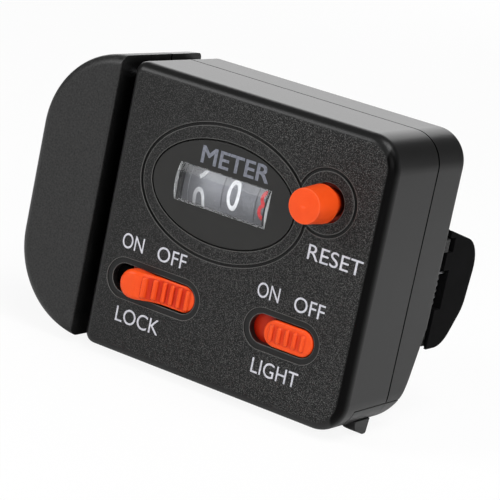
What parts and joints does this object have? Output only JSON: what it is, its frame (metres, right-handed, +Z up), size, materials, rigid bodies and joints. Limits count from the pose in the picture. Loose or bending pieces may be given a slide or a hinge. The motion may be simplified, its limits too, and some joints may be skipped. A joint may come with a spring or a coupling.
{
  "type": "fishing line counter",
  "caption": "Clip-on fishing line counter: a small case beside a narrow line gap, with a windowed digit counter, a reset button, lock and light sliders and a sprung rod clip.",
  "frame": {"origin": "on the axis of the clamped rod, at the middle of the clip's height", "axes": "+Z up along the rod, -Y the counter's front face, +X towards the clip's hinge"},
  "size_m": [0.0865, 0.0549, 0.0638],
  "materials": {
    "case_plastic": "fine moulded grain",
    "guide_plastic": "satin moulded",
    "bezel_plastic": "smooth",
    "clear_lens": "polished clear moulding",
    "natural_plastic": "unpainted moulding",
    "white_plastic": "smooth",
    "orange_plastic": "smooth moulded",
    "wheel_plastic": "moulded",
    "black_rubber": "matt",
    "black_plastic": "polished moulding",
    "steel": "turned",
    "spring_steel": "drawn wire",
    "brass": "cut and stamped",
    "cell_steel": "plated",
    "lamp_resin": "clear resin"
  },
  "bodies": {
    "housing": {"front_shell": "case_plastic", "rear_cover": "case_plastic", "line_guide": "guide_plastic", "case_screws": "steel", "window_bezel": "bezel_plastic", "lens": "clear_lens", "counter_frame": "natural_plastic", "counter_shaft": "steel", "pinion_shaft": "steel", "gear_pin": "steel", "reset_spring": "spring_steel", "shaft_bushes": "brass", "guide_pins": "steel", "switch_blades": "brass", "lamp": "lamp_resin", "lamp_strips": "brass", "button_cells": "cell_steel", "cell_contacts": "brass", "clip_saddle": "black_plastic", "saddle_pad": "black_rubber", "clip_screws": "steel", "clip_pin": "steel", "clip_spring": "spring_steel"},
    "reset_button": {"reset_button": "orange_plastic"},
    "reset_bar": {"reset_bar": "steel"},
    "lock_slider": {"lock_slider": "orange_plastic", "lock_arm": "black_plastic", "roller_pin": "steel"},
    "pinch_roller": {"pinch_roller": "natural_plastic"},
    "light_slider": {"light_slider": "orange_plastic", "switch_bridge": "brass"},
    "line_wheel": {"line_wheel": "wheel_plastic", "wheel_tyre": "black_rubber", "wheel_shaft": "steel", "drive_pinion": "brass"},
    "reduction_gear": {"reduction_gear": "natural_plastic"},
    "tens_wheel": {"tens_wheel": "white_plastic"},
    "units_wheel": {"units_wheel": "white_plastic"},
    "tenths_wheel": {"tenths_wheel": "white_plastic"},
    "carry_pinion_a": {"carry_pinion_a": "brass"},
    "carry_pinion_b": {"carry_pinion_b": "brass"},
    "clip_claw": {"clip_claw": "black_plastic", "claw_pad": "black_rubber"},
    "battery_door": {"battery_door": "case_plastic"}
  },
  "joints": [
    {"name": "reset_press", "type": "slide", "parent": "housing", "child": "reset_button", "axis": [0, 1, 0], "range_m": [0, 0.003], "stiffness_N_per_m": 400, "deforming": ["reset_spring"]},
    {"name": "reset_swing", "type": "hinge", "parent": "housing", "child": "reset_bar", "pos_m": [-0.017, -0.02147, 0.0261], "axis": [1, 0, 0], "range_deg": [0, 20.8]},
    {"name": "lock_slide", "type": "slide", "parent": "housing", "child": "lock_slider", "axis": [-1, 0, 0], "range_m": [0, 0.0028]},
    {"name": "roller_spin", "type": "hinge", "parent": "lock_slider", "child": "pinch_roller", "pos_m": [-0.0507, -0.03342, -0.01155], "axis": [1, 0, 0], "continuous": true},
    {"name": "light_slide", "type": "slide", "parent": "housing", "child": "light_slider", "axis": [-1, 0, 0], "range_m": [0, 0.0036]},
    {"name": "line_wheel_spin", "type": "hinge", "parent": "housing", "child": "line_wheel", "pos_m": [-0.0535, -0.02317, -0.01155], "axis": [1, 0, 0], "continuous": true},
    {"name": "reduction_spin", "type": "hinge", "parent": "housing", "child": "reduction_gear", "pos_m": [-0.0097, -0.0214, 0.00082], "axis": [1, 0, 0], "continuous": true},
    {"name": "tens_spin", "type": "hinge", "parent": "housing", "child": "tens_wheel", "pos_m": [-0.0327, -0.02417, 0.0125], "axis": [1, 0, 0], "continuous": true},
    {"name": "units_spin", "type": "hinge", "parent": "housing", "child": "units_wheel", "pos_m": [-0.0243, -0.02417, 0.0125], "axis": [1, 0, 0], "continuous": true},
    {"name": "tenths_spin", "type": "hinge", "parent": "housing", "child": "tenths_wheel", "pos_m": [-0.0159, -0.02417, 0.0125], "axis": [1, 0, 0], "continuous": true},
    {"name": "carry_a_spin", "type": "hinge", "parent": "housing", "child": "carry_pinion_a", "pos_m": [-0.0285, -0.01787, 0.00499], "axis": [1, 0, 0], "continuous": true},
    {"name": "carry_b_spin", "type": "hinge", "parent": "housing", "child": "carry_pinion_b", "pos_m": [-0.0201, -0.01787, 0.00499], "axis": [1, 0, 0], "continuous": true},
    {"name": "claw_swing", "type": "hinge", "parent": "housing", "child": "clip_claw", "pos_m": [0.01015, -0.0056, 0], "axis": [0, 0, -1], "range_deg": [0, 35], "stiffness_Nm_per_rad": 0.12, "deforming": ["clip_spring"]},
    {"name": "door_slide", "type": "slide", "parent": "housing", "child": "battery_door", "axis": [1, 0, 0], "range_m": [0, 0.03]}
  ],
  "couplings": [
    {"joint": "reset_swing", "follows": "reset_press", "rad_per_m": 120.48},
    {"joint": "reduction_spin", "follows": "line_wheel_spin", "ratio": -0.25},
    {"joint": "tenths_spin", "follows": "line_wheel_spin", "ratio": 0.05},
    {"joint": "units_spin", "follows": "line_wheel_spin", "ratio": 0.005},
    {"joint": "tens_spin", "follows": "line_wheel_spin", "ratio": 0.0005},
    {"joint": "carry_a_spin", "follows": "line_wheel_spin", "ratio": -0.00125},
    {"joint": "carry_b_spin", "follows": "line_wheel_spin", "ratio": -0.0125}
  ]
}
